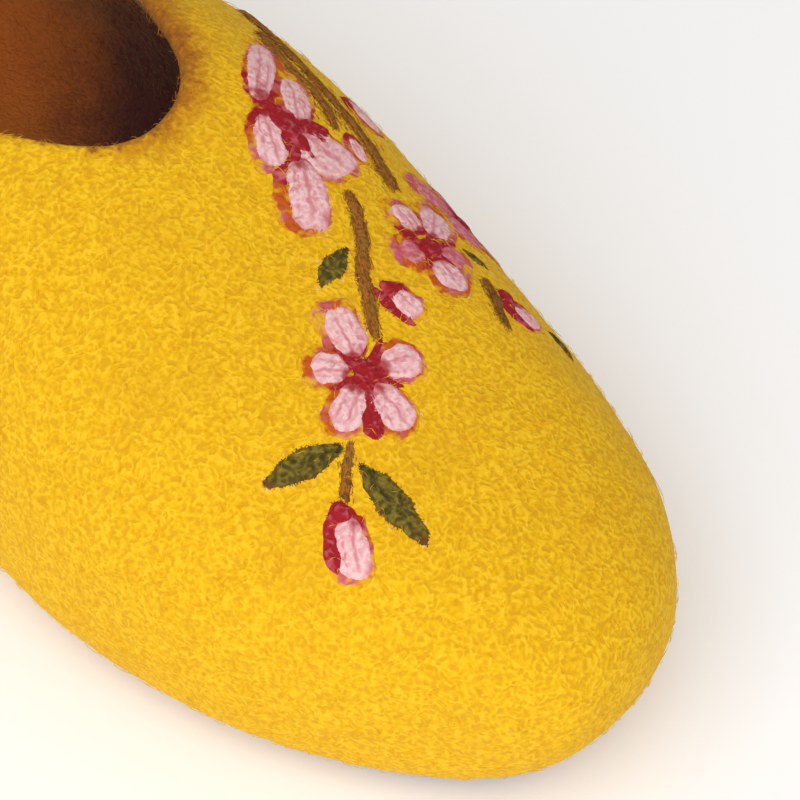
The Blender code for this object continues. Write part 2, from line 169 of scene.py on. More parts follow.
# Edges of patches, and the strands that are combed over them
EDGE_WAVES = 2 * MM
RIM_FROM = 0.93
COMB_LOOSE = 0.35
COMB_RISE = 0.3
FRINGE_LOOSE = 0.5
FRINGE_SHARE = 0.6

BLOSSOMS = ("front_blossom", "throat_blossom", "side_blossom", "far_blossom")
BUDS = ("low_bud", "middle_bud", "side_bud")

# Reach and width of the streaks between petals, where they start, and how alike the ways of neighbours are
STREAK_SIZE = (0.75, 0.3)
SHORT_STREAK = (0.5, 0.45)
WEDGE_SIZE = (1.35, 1.3)
WEDGE_PETALS = {"front_blossom_petal_3", "front_blossom_petal_4"}
STREAK_START = 0.1
NEIGHBOURS = 0.9

# Blushes that reach further than most: millimetres that they show around the petal, and that they move to
# the heel and the outer side
HALOS = {
    **of_petals("throat_blossom", {1: (1.2, -0.9), 2: (0.7, 0.4), 3: (0.7, 1.3), 5: (1.2, 0.8)}),
    **of_petals("side_blossom", {1: (1.0, 0.3), 2: (1.6, 0.5), 3: (0.9, 0.2), 4: (1.2, 0), 5: (1.2, 0)}),
    **of_petals("front_blossom", {1: (0.7, 0.7)}),
}

# Length and width of a patch over those of its solid, and its moves in millimetres towards its tip and its
# left side, where these differ from the solid's, and the ways of patches that lie askew to their blossom
FITS = {
    "low_bud": (1.22, 1.05, -2.9, 0),
    "low_bud_calyx": (1.1, 0.9, -0.8, -1),
    "middle_bud": (1.3, 1.2, -2, 0),
    "side_bud": (1.1, 1.2, -1.3, 0),
    "side_bud_calyx": (1.0, 1.0, -0.8, 0),
    "low_leaf_inner": (1.2, 1.12, -0.5, 0),
    "low_leaf_outer": (1.25, 1.0, -1, -1.2),
    "throat_blossom_centre": (1.5, 0.8, -0.6, -1.2),
    **of_petals("throat_blossom", {
        1: (1.65, 0.78, 1, 2.3),
        2: (1.5, 0.8, -1.4, 0.9),
        3: (1.12, 1.02, 0.5, 0),
        4: (1.5, 1.65, -2.4, 0.2),
        5: (2.1, 1.68, 0.3, 1.6),
    }),
    **of_petals("side_blossom", {
        1: (1.0, 1.2, 0.4, 0),
        2: (0.85, 1.1, -1.2, 0),
        3: (1.0, 1.15, -0.6, 0),
        4: (1.3, 1.5, -1.8, 0.5),
        5: (1.1, 1.25, 0.2, 0),
    }),
    **of_petals("front_blossom", {1: (1.2, 1.05, 0.2, 0)}),
    **of_petals("far_blossom", {2: (1.5, 1.4, 1, 0), 3: (1.3, 1.5, -0.4, 0)}),
}
PETAL_FIT = (1.0, 1.0, -0.6, 0)
OWN_FIT = (1.0, 1.0, 0, 0)
HEADINGS = {
    "throat_blossom_centre": (-0.03, 0.97, -0.25),
    **of_petals("throat_blossom", {
        1: (-0.65, -0.73, -0.19),
        2: (0.43, 0.88, -0.17),
        5: (-0.48, -0.87, -0.12),
    }),
}

# Fit of a patch in metres. A sepal's moves are shares of its bud's half length and width
Fit = namedtuple("Fit", "length width tip left")
SEPAL = Fit(2.7, 0.7, 0.75, -0.95)

# How each branch is laid: how far it is widened and frayed, how much it is stretched, the move of its heel
# end, and how much lighter its wool is
Lay = namedtuple("Lay", "widen fray stretch lean tone")
LAYS = {
    "low_stem": Lay(-0.15 * MM, 0.35 * MM, 1.3, mm(1.2, -1.4, 0), -0.25),
    "side_twig": Lay(-0.15 * MM, 0.5 * MM, 1.25, STILL, -0.5),
    "twig": Lay(0.05 * MM, 0.5 * MM, 1.0, STILL, -0.1),
}
PLAIN_LAY = Lay(0.1 * MM, 1.4 * MM, 1.0, STILL, -0.1)

# Bark of the branches, pressed and frayed
BARK_HEIGHT = 1.5 * MM
BARK_FLATTEN = 0.5
BARK_SINK = 0.15 * MM
BARK_WAVES = mm(2.5, 0.6)
BARK_LOOSE = 0.25
BARK_STRAND = (1.0, 1.3, 0.4)
BARK_TONES = (-0.3, 0.7)
SIDE_TONE = 0.45

# Wisps: where they begin along a patch, and their distance from its edge with its spread
WISP_FROM = 0.35
WISP_PLACE = mm(0.6, 0.3)
WISP_LOOSE = 0.35
WISP = (0.55, 1.5, 0.5)

# Lamp: its way from the aim is towards the camera, to the right and up
LAMP_SIZE = 1.6
LAMP_WAY = (0.9, -0.2, 1.0)
LAMP_DISTANCE = 0.9
FLOOR_CELLS = 8

# What each leaf and lone bud grows from
STEMS = {
    "twig_leaf": "twig",
    "low_leaf_outer": "low_stem",
    "low_leaf_inner": "low_stem",
    "side_leaf": "side_blossom_centre",
    "far_leaf": "side_bud",
    "small_bud": "throat_branch",
    "far_bud": "main_branch",
}


# Settings that a user would change
def colour(name, description, default):
    return bpy.props.FloatVectorProperty(
        name=name, description=description, default=default, size=3, min=0.0, max=1.0, subtype="COLOR"
    )


def amount(name, description, default, **kind):
    return bpy.props.FloatProperty(name=name, description=description, default=default, **kind)


def length(name, description, millimetres):
    return amount(name, description, millimetres * MM, min=0.0, subtype="DISTANCE", unit="LENGTH")


def angle(name, description, degrees):
    return amount(name, description, math.radians(degrees), subtype="ANGLE")


def number(name, description, default):
    return bpy.props.IntProperty(name=name, description=description, default=default, min=0)


class FeltSettings(bpy.types.PropertyGroup):
    """Sizes and colours of the felted shell, its lining, insole and sole."""

    lump_rise: length("Lump rise", "How far soft lumps lift the felt", 0.5)
    lump_size: length("Lump size", "How far apart soft lumps are", 16)
    knot_rise: length("Knot rise", "How far small knots lift the felt", 0.16)
    knot_size: length("Knot size", "How far apart small knots are", 2.6)
    relief: length("Relief", "Depth of the wormy relief", 0.14)
    strands: number("Strands", "Strands in each of two coats", 15000)
    strand_length: length("Strand length", "Length of a felted strand", 3.6)
    strand_width: length("Strand width", "Width of a felted strand", 0.66)
    strand_rise: length("Strand rise", "Height of a felted strand over the felt", 0.05)
    hairs: number("Hairs", "Stray hairs on the shell", 4500)
    hair_length: length("Hair length", "Length of a stray hair", 3.2)
    hair_width: length("Hair width", "Width of a stray hair", 0.08)
    rim_hairs: number("Rim hairs", "Hairs that stand up around the collar", 450)
    lining_strands: number("Lining strands", "Strands over the lining and the insole", 8000)
    yellow: colour("Yellow", "Felt between the light strands and the gaps", (0.83, 0.46, 0.006))
    # Pale and deep yellow: painted highlight on the high places and painted shade in the gaps of the felt,
    # mixed with lighter and deeper wool
    pale_yellow_and_highlight: colour("Pale yellow", "Strands that catch the light", (0.95, 0.57, 0.022))
    deep_yellow_and_gap_shade: colour("Deep yellow", "Gaps between strands", (0.72, 0.365, 0.010))
    # Rim colours: partly lining wool that shows at the collar, partly painted shade on the collar's far
    # side
    rim_orange_and_shade: colour("Rim orange", "Mixed wool next to the rim", (0.50, 0.16, 0.010))
    rim_brown_and_shade: colour("Rim brown", "Lining wool that comes through at the rim", (0.22, 0.060, 0.012))
    lining: colour("Lining", "Wool inside the shell", (0.56, 0.17, 0.030))
    # Painted shade for the lining and the insole towards the toe, and the darker brown of the suede's own
    # mottling
    dark_brown_and_painted_shade: colour("Deep lining", "Wool inside the shell, towards the toe", (0.100, 0.032, 0.032))
    suede: colour("Suede", "Sole", (0.20, 0.095, 0.045))


class SpraySettings(bpy.types.PropertyGroup):
    """Sizes and colours of the needled cherry spray."""

    ragged: length("Ragged edge", "How far the edges of a patch wander", 0.6)
    blush_reach: length("Blush reach", "How far the blush shows around a petal", 0.7)
    blush_side: length("Blush side", "How far the blush is moved to one side of a petal", 0.4)
    strands: number("Strands", "Strands on a petal of one square centimetre", 260)
    strand_length: length("Strand length", "Length of a strand on the spray", 2.6)
    strand_width: length("Strand width", "Width of a strand on the spray", 0.17)
    fringe: number("Fringe", "Strands that cross the edge of a patch, to a centimetre", 40)
    bark_strands: number("Bark strands", "Strands along a branch, to a centimetre", 160)
    wisps: number("Wisps", "Wisps of yellow wool over the edge of one patch", 18)
    pale_pink: colour("Pale pink", "Petals", (0.80, 0.40, 0.41))
    light_pink: colour("Light pink", "Strands of the petals that catch the light", (0.90, 0.58, 0.58))
    deep_pink: colour("Deep pink", "Deep petals where they catch the light", (0.72, 0.26, 0.29))
    rose: colour("Rose", "Veins and deep petals", (0.60, 0.12, 0.155))
    red: colour("Red", "Hearts and calyxes", (0.36, 0.014, 0.020))
    orange: colour("Orange", "Blush around the petals", (0.56, 0.10, 0.015))
    peach: colour("Peach", "Wisps over the edges of patches", (0.93, 0.55, 0.22))
    olive: colour("Olive", "Leaves", (0.22, 0.165, 0.022))
    dark_olive: colour("Dark olive", "Shade in the leaves", (0.050, 0.034, 0.009))
    bark: colour("Bark", "Branches", (0.40, 0.150, 0.022))
    dark_bark: colour("Dark bark", "Shade in the branches", (0.17, 0.058, 0.012))


class StageSettings(bpy.types.PropertyGroup):
    """Floor, lights and camera."""

    floor: colour("Floor", "Colour of the floor", (0.95, 0.95, 0.95))
    floor_glow: amount("Floor glow", "Light that the floor itself gives", 0.1, min=0.0)
    floor_size: length("Floor size", "Length of each side of the floor", 6000)
    key_power: amount("Key", "Power of the large lamp", 14.5, min=0.0)
    sky: amount("Sky", "Strength of the light all around", 0.46, min=0.0)
    azimuth: angle("Azimuth", "Way round from the toe to the camera", 39.6)
    elevation: angle("Elevation", "Height of the camera's view", 51.6)
    distance: length("Distance", "From the camera to its aim", 720.8)
    aim: bpy.props.FloatVectorProperty(
        name="Aim",
        description="Point at the middle of the picture",
        default=mm(-20.85, 57.9, 30),
        subtype="XYZ",
        unit="LENGTH",
    )
    lens: amount("Lens", "Focal length in millimetres", 180.0, min=1.0)


# Shader maths
class Value:
    """A number in a material: arithmetic on it adds Math nodes."""

    def __init__(self, finish, socket):
        self.finish = finish
        self.socket = socket

    def maths(self, operation, other=0.0, swapped=False):
        pair = (other, self) if swapped else (self, other)
        return self.finish.value(0, "ShaderNodeMath", {"operation": operation}, dict(enumerate(pair)))

    __add__ = __radd__ = partialmethod(maths, "ADD")
    __mul__ = __rmul__ = partialmethod(maths, "MULTIPLY")
    __sub__ = partialmethod(maths, "SUBTRACT")
    __rsub__ = partialmethod(maths, "SUBTRACT", swapped=True)
    __truediv__ = partialmethod(maths, "DIVIDE")
    __pow__ = partialmethod(maths, "POWER")
    __abs__ = partialmethod(maths, "ABSOLUTE")
    larger = partialmethod(maths, "MAXIMUM")

    def step(self, low, high):
        """Rises smoothly from 0 at low to 1 at high, or falls where low is the larger."""
        sockets = {"Value": self, "From Min": low, "From Max": high}
        settings = {"interpolation_type": "SMOOTHSTEP"}
        return self.finish.value("Result", "ShaderNodeMapRange", settings, sockets)


class Finish:
    """A material, with calls that add the nodes that wool needs."""

    def __init__(self, name, sheen_tint=WHITE, sheen=0.1):
        self.material = bpy.data.materials.new(name)
        self.material.use_nodes = True
        self.tree = self.material.node_tree
        self.shader = self.tree.nodes["Principled BSDF"]
        sheens = {"Sheen Weight": sheen, "Sheen Roughness": 0.5, "Sheen Tint": sheen_tint}
        for socket, value in {"Roughness": 0.95, "Specular IOR Level": 0.15, **sheens}.items():
            self.feed(self.shader.inputs[socket], value)
        where = self.node("ShaderNodeTexCoord")
        self.place = self.vector("SCALE", where.outputs["Object"], Scale=1 / MM)

    def node(self, kind, settings=None, sockets=None):
        made = self.tree.nodes.new(kind)
        for name, value in (settings or {}).items():
            setattr(made, name, value)
        for name, value in (sockets or {}).items():
            self.feed(made.inputs[name], value)
        return made

    def value(self, output, *node):
        """A number that a new node gives."""
        return Value(self, self.node(*node).outputs[output])

    def split(self, vector):
        """The first two numbers of a vector."""
        made = self.node("ShaderNodeSeparateXYZ", {}, {0: vector})
        return [Value(self, made.outputs[axis]) for axis in "XY"]

    def feed(self, socket, value):
        if isinstance(value, Value):
            value = value.socket
        if isinstance(value, bpy.types.NodeSocket):
            self.tree.links.new(value, socket)
        elif socket.type == "RGBA":
            socket.default_value = (*value, 1.0)
        else:
            socket.default_value = value

    def vector(self, operation, first, second=STILL, **named):
        made = self.node("ShaderNodeVectorMath", {"operation": operation}, {0: first, 1: second, **named})
        return made.outputs["Vector"]

    def blend(self, share, first, second):
        """A colour between two, by share."""
        made = self.node("ShaderNodeMix", {"data_type": "RGBA"}, {0: share, 6: first, 7: second})
        return made.outputs[2]

    def grain(self, waves, place=None, detail=1.0, shift=STILL):
        """Noise with that many waves to a millimetre, around one half."""
        moved = self.vector("ADD", place or self.place, shift)
        sockets = {"Vector": moved, "Scale": waves, "Detail": detail}
        return self.value("Fac", "ShaderNodeTexNoise", {}, sockets)

    def attribute(self, name):
        return self.value("Fac", "ShaderNodeAttribute", {"attribute_name": name})

    def toe_ward(self):
        """Millimetres towards the toe and the inner side, from the middle of the foot room."""
        across, along = self.split(self.place)
        return across * TOE_WARD[0] + along * TOE_WARD[1]

    def along_across(self):
        """A patch's own map: 0 to 1 from root to tip, and -1 to 1 from side to side."""
        made = self.node("ShaderNodeUVMap", {"uv_map": "patch"})
        along, across = self.split(made.outputs["UV"])
        return along, across * 2 - 1

    def outward(self, along, across, wobble):
        """0 at the middle of a patch and about 1 at its edge, with a wobble."""
        return (along * 2 - 1) ** 2 + across**2 + wobble

    def swirled(self, drift, wander):
        """Places moved about by a slow noise, so that a pattern on them curls."""
        slow = self.node("ShaderNodeTexNoise", {}, {"Vector": self.place, "Scale": drift, "Detail": 0.0})
        centred = self.vector("SUBTRACT", slow.outputs["Color"], (0.5, 0.5, 0.5))
        return self.vector("ADD", self.place, self.vector("SCALE", centred, Scale=wander))

    def worms(self, waves=1.0, wander=1.5):
        """Relief of felted wool, 0 to 1: short curled strands and finer hairs that swirl over them."""
        curls = self.grain(waves, self.swirled(0.4 * waves, wander), 0.0)
        hairs = self.grain(1.1 * waves, self.swirled(0.16 * waves, 4 * wander), 0.0, (31.0, 7.0, 3.0))
        return (curls * 0.65 + hairs * 0.35).step(0.32, 0.68)

    def streaks(self, along, across, fineness):
        """Noise drawn out from root to tip of a patch, around one half."""
        place = self.node("ShaderNodeCombineXYZ", {}, {0: along * 2, 1: across * fineness})
        return self.grain(1.0, place.outputs[0], 2.0)

    def start(self, share, first, second):
        """Begin the paint with a colour between two."""
        self.base = self.blend(share, first, second)

    def over(self, share, colour_over):
        """Lay a share of another colour over the paint."""
        self.base = self.blend(share, self.base, colour_over)

    def done(self, height=None, depth=0.0):
        """The material, with its paint and its relief."""
        self.feed(self.shader.inputs["Base Color"], self.base)
        if height:
            bump = self.node("ShaderNodeBump", {}, {"Strength": 1.0, "Distance": depth, "Height": height})
            self.feed(self.shader.inputs["Normal"], bump.outputs["Normal"])
        return self.material


# Finishes
def lining(finish, felt, height):
    """Brown wool that gets darker towards the toe: painted shade for the deep inside under the vamp, where
    little light gets in.
    """
    cloudy = (finish.grain(0.08, detail=3.0) - 0.5) * 24 + (height - 0.5) * 4
    return finish.blend((finish.toe_ward() + cloudy).step(-28.0, 5.0), felt.lining, felt.dark_brown_and_painted_shade)


def shell_finish(felt):
    finish = Finish("yellow_felt", (1.0, 0.77, 0.22), 0.18)
    height = finish.worms(1.05, 1.7)
    shade = height + finish.attribute("tone")
    # Low places of the relief take the deep yellow as painted shade in the gaps, high places the pale
    # yellow as a painted highlight; the strands' tones add lighter and darker wool
    finish.start(shade.step(-0.1, 0.6), felt.deep_yellow_and_gap_shade, felt.yellow)
    finish.over(shade.step(0.6, 1.2) * 0.8, felt.pale_yellow_and_highlight)
    finish.over(finish.grain(0.05, detail=2.0).step(0.50, 0.75) * 0.35, felt.deep_yellow_and_gap_shade)
    # Band at the collar: lining wool mixed in, darkened further by painted shade; it widens towards the toe
    # and the inner side, the far side that faces away from the lamp
    wide = finish.toe_ward().step(-4.0, 12.0) * 2 + 1
    ragged = (finish.grain(0.9, detail=2.0) - 0.5) * 6 + (finish.grain(0.25) - 0.5) * 4
    from_rim = (finish.attribute("rim") + ragged) / wide
    finish.over(from_rim.step(2.9, 0.4) * 0.88, felt.rim_orange_and_shade)
    finish.over(from_rim.step(1.6, -0.3) * 0.76, felt.rim_brown_and_shade)
    # Inside the shell, the brown lining, with its painted shade towards the toe
    turned = finish.attribute("inward") + (finish.grain(0.9) - 0.5) * 0.5
    finish.over(turned.step(0.15, 0.45), lining(finish, felt, height))
    return finish.done(height, felt.relief)


def strand_finish(name, low, high):
    """Loose strands: their tone runs between two colours."""
    finish = Finish(name, high)
    speckle = (finish.grain(1.2) - 0.5) * 0.5
    finish.start((finish.attribute("tone") + speckle).step(0.0, 1.0), low, high)
    return finish.done()


def suede_finish(felt):
    finish = Finish("brown_suede", felt.suede, 0.2)
    height = finish.worms(1.4, 1.2)
    finish.start(height * 0.5, felt.suede, felt.dark_brown_and_painted_shade)
    finish.over(finish.grain(0.08, detail=3.0).step(0.45, 0.75) * 0.35, felt.dark_brown_and_painted_shade)
    return finish.done(height, 0.15 * MM)


def insole_finish(felt):
    finish = Finish("brown_felt", felt.lining, 0.2)
    height = finish.worms(1.2)
    # The insole has the same painted shade towards the toe as the lining
    finish.base = lining(finish, felt, height)
    return finish.done(height, 0.2 * MM)


def petal_finish(name, spray, pale, light):
    """Petal: streaky pale wool with a red root, rose veins and specks, and a rose edge."""
    finish = Finish(name, light)
    along, across = finish.along_across()
    height = finish.worms()
    wobble = finish.grain(0.45) - 0.5
    patchy = finish.grain(0.3, shift=(40.0, 0.0, 0.0))
    streak = finish.streaks(along, across, 4.0)
    finish.start((streak * 0.6 + height * 0.4).step(0.25, 0.70), pale, light)
    bent = across + wobble * 0.5
    reach = (along + wobble * 0.6).step(0.95, 0.6)
    vein = abs(bent - 0.12).step(0.17, 0.02)
    side_vein = abs(bent + 0.30 + along * 0.25).step(0.13, 0.01) * patchy.step(0.42, 0.55)
    specks = finish.grain(1.0, shift=(0.0, 25.0, 0.0)).step(0.54, 0.66) * along.step(1.1, 0.4)
    marks = (vein.larger(side_vein) * reach).larger(specks * 0.7)
    finish.over(marks * 0.62, spray.rose)
    finish.over((along + wobble * 0.6).step(0.26, 0.02) * 0.9, spray.red)
    outward = finish.outward(along, across, wobble * 0.7)
    finish.over(outward.step(0.62, 1.05) * patchy.step(0.30, 0.60) * 0.8, spray.rose)
    finish.over(outward.step(1.05, 1.50) * 0.8, spray.orange)
    return finish.done(height * 0.5 + streak * 0.5 - marks * 0.25, 0.16 * MM)


def heart_finish(spray):
    finish = Finish("red_wool", spray.rose)
    height = finish.worms()
    finish.start(height.step(0.3, 1.0) * 0.6, spray.red, spray.rose)
    finish.over(finish.grain(0.5).step(0.4, 0.65), spray.red)
    return finish.done(height, 0.3 * MM)


def blush_finish(spray, felt):
    """Wool around the petals: red at their roots, rose and orange beyond, and thinning into the yellow."""
    finish = Finish("blush_wool", spray.orange)
    along, across = finish.along_across()
    height = finish.worms()
    wobble = finish.grain(0.6) - 0.5
    finish.start(finish.grain(0.22).step(0.40, 0.56), spray.rose, spray.orange)
    finish.over((along + wobble).step(0.45, 0.15), spray.red)
    outer = finish.outward(along, across, wobble * 1.2).step(0.85, 1.25)
    faded = finish.grain(0.35, shift=(0.0, 60.0, 0.0)).step(0.48, 0.64) * along.step(0.2, 0.6)
    finish.over(faded.larger(outer) * 0.85, felt.yellow)
    return finish.done(height, 0.2 * MM)


def leaf_finish(spray, felt):
    finish = Finish("olive_wool", spray.olive)
    along, across = finish.along_across()
    height = finish.worms()
    wobble = finish.grain(0.6) - 0.5
    finish.start(height.step(-0.4, 0.9), spray.dark_olive, spray.olive)
    finish.over(finish.grain(0.8).step(0.48, 0.70) * 0.7, spray.dark_olive)
    outward = finish.outward(along, across, wobble * 0.8)
    finish.over(outward.step(0.60, 1.10) * 0.6, spray.dark_bark)
    finish.over(outward.step(0.95, 1.25) * 0.7, spray.bark)
    finish.over(outward.step(1.10, 1.60) * 0.8, felt.yellow)
    vein = abs(across + wobble * 0.6).step(0.2, 0.04) * (1 - along)
    finish.over(vein * 0.7, spray.dark_olive)
    finish.over((along + wobble * 0.5).step(0.78, 1.0) * 0.8, spray.dark_bark)
    return finish.done(height - vein, 0.3 * MM)


def bark_finish(spray):
    finish = Finish("brown_wool", spray.bark)
    height = finish.worms()
    shade = height * 0.35 + finish.attribute("tone")
    finish.start(shade.step(-0.3, 0.8), spray.dark_bark, spray.bark)
    finish.over(finish.grain(0.3).step(0.5, 0.7) * 0.3, spray.olive)
    return finish.done(height, 0.3 * MM)


# Modelling
def only(piece):
    """Make one piece the whole selection."""
    bpy.ops.object.select_all(action="DESELECT")
    piece.select_set(True)
    bpy.context.view_layer.objects.active = piece


def place(name, data):
    """A new object in the scene."""
    made = bpy.data.objects.new(name, data)
    bpy.context.scene.collection.objects.link(made)
    return made


def copy_node(node, name):
    """A copy of a CAD node, with its loose triangles merged and joined into quads."""
    mesh = frame["nodes"][node].data.copy()
    mesh.materials.clear()
    piece = place(name, mesh)
    only(piece)
    bpy.ops.mesh.customdata_custom_splitnormals_clear()
    bpy.ops.object.mode_set(mode="EDIT")
    bpy.ops.mesh.select_all(action="SELECT")
    bpy.ops.mesh.remove_doubles(threshold=WELD)
    bpy.ops.mesh.tris_convert_to_quads(face_threshold=QUAD_ANGLE, shape_threshold=QUAD_ANGLE)
    bpy.ops.object.mode_set(mode="OBJECT")
    return piece


def apply_modifier(piece, kind, **settings):
    only(piece)
    bpy.ops.object.modifier_add(type=kind)
    modifier = piece.modifiers[-1]
    for name, value in settings.items():
        setattr(modifier, name, value)
    bpy.ops.object.modifier_apply(modifier=modifier.name)


def smooth(piece):
    apply_modifier(piece, "SUBSURF", levels=SMOOTH_LEVELS, render_levels=SMOOTH_LEVELS)
    piece.data.shade_smooth()


def bevel(piece, width):
    """Round the sharp edges of a piece."""
    apply_modifier(piece, "BEVEL", width=width, segments=3, limit_method="ANGLE", angle_limit=SHARP_ANGLE)
    piece.data.shade_smooth()


def lump(piece, name, size, rise):
    """Lift a piece's skin in soft random lumps."""
    clouds = bpy.data.textures.new(name, "CLOUDS")
    clouds.noise_scale = size
    apply_modifier(piece, "DISPLACE", texture=clouds, strength=2 * rise, mid_level=0.5)


def read(items, name, width=1, kind=np.float32):
    """Numbers of a mesh's items, one row for each item."""
    numbers = np.empty(len(items) * width, kind)
    items.foreach_get(name, numbers)
    return numbers.reshape(-1, width)


def corners_of(piece):
    return read(piece.data.vertices, "co", 3).astype(float)


def move_corners(piece, points):
    piece.data.vertices.foreach_set("co", points.astype(np.float32).ravel())
    piece.data.update()


def unit(vectors):
    return vectors / np.maximum(np.linalg.norm(vectors, axis=-1, keepdims=True), TINY)


def along_skin(headings, normals, rng, loose):
    """Headings with some looseness, laid flat on a skin."""
    headings = headings + loose * rng.normal(size=normals.shape)
    return unit(headings - normals * np.sum(headings * normals, axis=1, keepdims=True))


def long_axis(points):
    """Way along the length of what the points make up."""
    spread = points - points.mean(axis=0)
    return np.linalg.eigh(spread.T @ spread)[1][:, -1]


def wander(points, size, reach):
    """Small moves that wander smoothly from place to place."""
    return reach * np.array([noise.noise_vector(Vector(point) / size) for point in points])


def ride(piece, material, slot, *nodes):
    """Give a piece its material, tie it to the slipper, and hide the CAD nodes it stands for. The slot is
    not used.
    """
    piece.data.materials.append(material)
    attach(piece, "root")
    if nodes:
        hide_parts(*nodes)


class Ground:
    """Skin that wool is laid on."""

    def __init__(self, *pieces):
        bm = bmesh.new()
        for piece in pieces:
            bm.from_mesh(piece.data)
        self.tree = BVHTree.FromBMesh(bm)
        bm.free()

    def drop(self, points):
        """The nearest places on the skin, and its normals there."""
        places, normals, *_ = zip(*(self.tree.find_nearest(point) for point in points))
        return np.array(places), np.array(normals)


def upward(places, normals):
    """Weight that picks what faces up."""
    return normals[:, 2] > 0.0


def scatter(piece, count, rng, weight):
    """Random places on a piece, even by area and by a weight of places and normals, with the normals."""
    mesh = piece.data
    mesh.calc_loop_triangles()
    index = read(mesh.loop_triangles, "vertices", 3, np.int32)
    a, b, c = np.moveaxis(corners_of(piece)[index], 1, 0)
    cross = np.cross(b - a, c - a)
    normals = unit(cross)
    share = np.linalg.norm(cross, axis=1) * weight((a + b + c) / 3, normals)
    picked = rng.choice(len(share), count, p=share / share.sum())
    first = np.sqrt(rng.random((count, 1)))
    second = rng.random((count, 1))
    places = (1 - first) * a[picked] + first * (1 - second) * b[picked] + first * second * c[picked]
    return places, normals[picked]


def lay_strands(name, ground, starts, headings, sizes, heights, tones, rng):
    """One mesh of closed, tapered strands on the ground. Sizes are their mean length, width and rise."""
    count = len(starts)
    reach, width, rise = (size * rng.uniform(*SIZE_SPREAD, (count, 1, 1)) for size in sizes)
    bend = rng.uniform(-MOST_BEND, MOST_BEND, (count, 1, 1))
    _, normals = ground.drop(starts)
    ahead = POINT_SHARES * reach * headings[:, None, :]
    aside = 4 * POINT_SHARES**2 * bend * reach * np.cross(normals, headings)[:, None, :]
    route = starts[:, None, :] + ahead + aside
    places, normals = (part.reshape(count, 4, 3) for part in ground.drop(route.reshape(-1, 3)))
    spine = places + normals * np.array(heights).reshape(1, 4, 1)
    run = unit(spine[:, 2] - spine[:, 1])[:, None, :]
    up = normals[:, 1:3]
    side = np.cross(up, run) * width / 2
    rings = np.stack([spine[:, 1:3] - side, spine[:, 1:3] + side, spine[:, 1:3] + up * rise], axis=2)
    points = np.concatenate([spine[:, :1], rings.reshape(count, 6, 3), spine[:, 3:]], axis=1)

    faces = []
    for a, b in ((1, 2), (2, 3), (3, 1)):
        faces += [(b, a, 0), (a, b, b + 3), (a, b + 3, a + 3), (a + 3, b + 3, 7)]
    index = np.array(faces)[None] + STRAND_CORNERS * np.arange(count).reshape(-1, 1, 1)
    mesh = bpy.data.meshes.new(name)
    mesh.from_pydata(points.reshape(-1, 3), [], index.reshape(-1, 3))
    mesh.shade_smooth()
    low, high = np.sort(read(mesh.edges, "vertices", 2, np.int32) % STRAND_CORNERS, axis=1).T
    sharp = np.isin(low * STRAND_CORNERS + high, [a * STRAND_CORNERS + b for a, b in SHARP_SIDES])
    mesh.attributes.new("sharp_edge", "BOOLEAN", "EDGE").data.foreach_set("value", sharp)
    piece = place(name, mesh)
    add_numbers(piece, "tone", np.repeat(tones, STRAND_CORNERS))
    return piece


def lay_coat(name, ground, places, normals, usual, rng):
    """One of the coats, on places that were drawn for it. Usual sizes are length, width and rise."""
    coat = COATS[name]
    headings = along_skin(wander(places, coat.swirl, 1.0), normals, rng, coat.loose)
    sizes = (usual[0] * coat.longer, usual[1] * coat.wider, usual[2])
    tones = coat.draw(rng, *coat.tones, len(places)) if coat.draw else np.zeros(len(places))
    return lay_strands(name, ground, places, headings, sizes, coat.heights, tones, rng)


def inward_of(points, normals):
    """How far a skin faces the foot room: from 1, straight at it, to -1, straight away."""
    core = points.copy()
    core[:, 0] = 0.0
    core[:, 1] = np.clip(core[:, 1], *FOOT_ROOM)
    core[:, 2] = FOOT_ROOM_HEIGHT
    return np.sum(normals * unit(core - points), axis=1)


def add_numbers(piece, name, numbers):
    layer = piece.data.attributes.new(name, "FLOAT", "POINT")
    layer.data.foreach_set("value", numbers.astype(np.float32))


def rim_distance(shell, points):
    """Millimetres from points to where the shell turns inward at the collar."""
    inward = read(shell.data.attributes["inward"].data, "value")[:, 0]
    corners = corners_of(shell)
    edge = corners[(np.abs(inward) < COLLAR_TURN) & (corners[:, 2] > COLLAR_LOW)]
    tree = KDTree(len(edge))
    for number, point in enumerate(edge):
        tree.insert(point, number)
    tree.balance()
    return np.array([tree.find(point)[2] for point in points]) / MM


def add_map(piece, uv):
    """Give a piece the UV map of a patch, from a place on it for each corner."""
    layer = piece.data.uv_layers.new(name="patch")
    index = read(piece.data.loops, "vertex_index", 1, np.int32)[:, 0]
    layer.data.foreach_set("uv", uv[index].astype(np.float32).ravel())


def join(pieces):
    """Join pieces into the first of them."""
    only(pieces[0])
    for piece in pieces:
        piece.select_set(True)
    bpy.ops.object.join()
    return pieces[0]


def middle_of(node):
    low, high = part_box(node)
    return np.array((low + high) / 2)


def patch_axis(node, points):
    """Way from a patch's root to its tip."""
    if "_petal_" in node:
        return unit(points.mean(axis=0) - middle_of(node.split("_petal_")[0] + "_centre"))
    bud = node.removesuffix("_calyx")
    if bud + "_calyx" in SLOTS:
        return unit(middle_of(bud) - middle_of(bud + "_calyx"))
    axis = long_axis(points)
    stem = middle_of(STEMS[node]) if node in STEMS else points.mean(axis=0)
    return axis if np.dot(axis, points.mean(axis=0) - stem) >= 0 else -axis


def fit_of(node):
    length, width, *moves = FITS.get(node, PETAL_FIT if "_petal_" in node else OWN_FIT)
    return Fit(length, width, *mm(*moves))


def strand_sizes(spray, longer, wider, rise):
    """Sizes of strands on the spray, over its usual length and width."""
    return longer * spray.strand_length, wider * spray.strand_width, rise * spray.strand_width


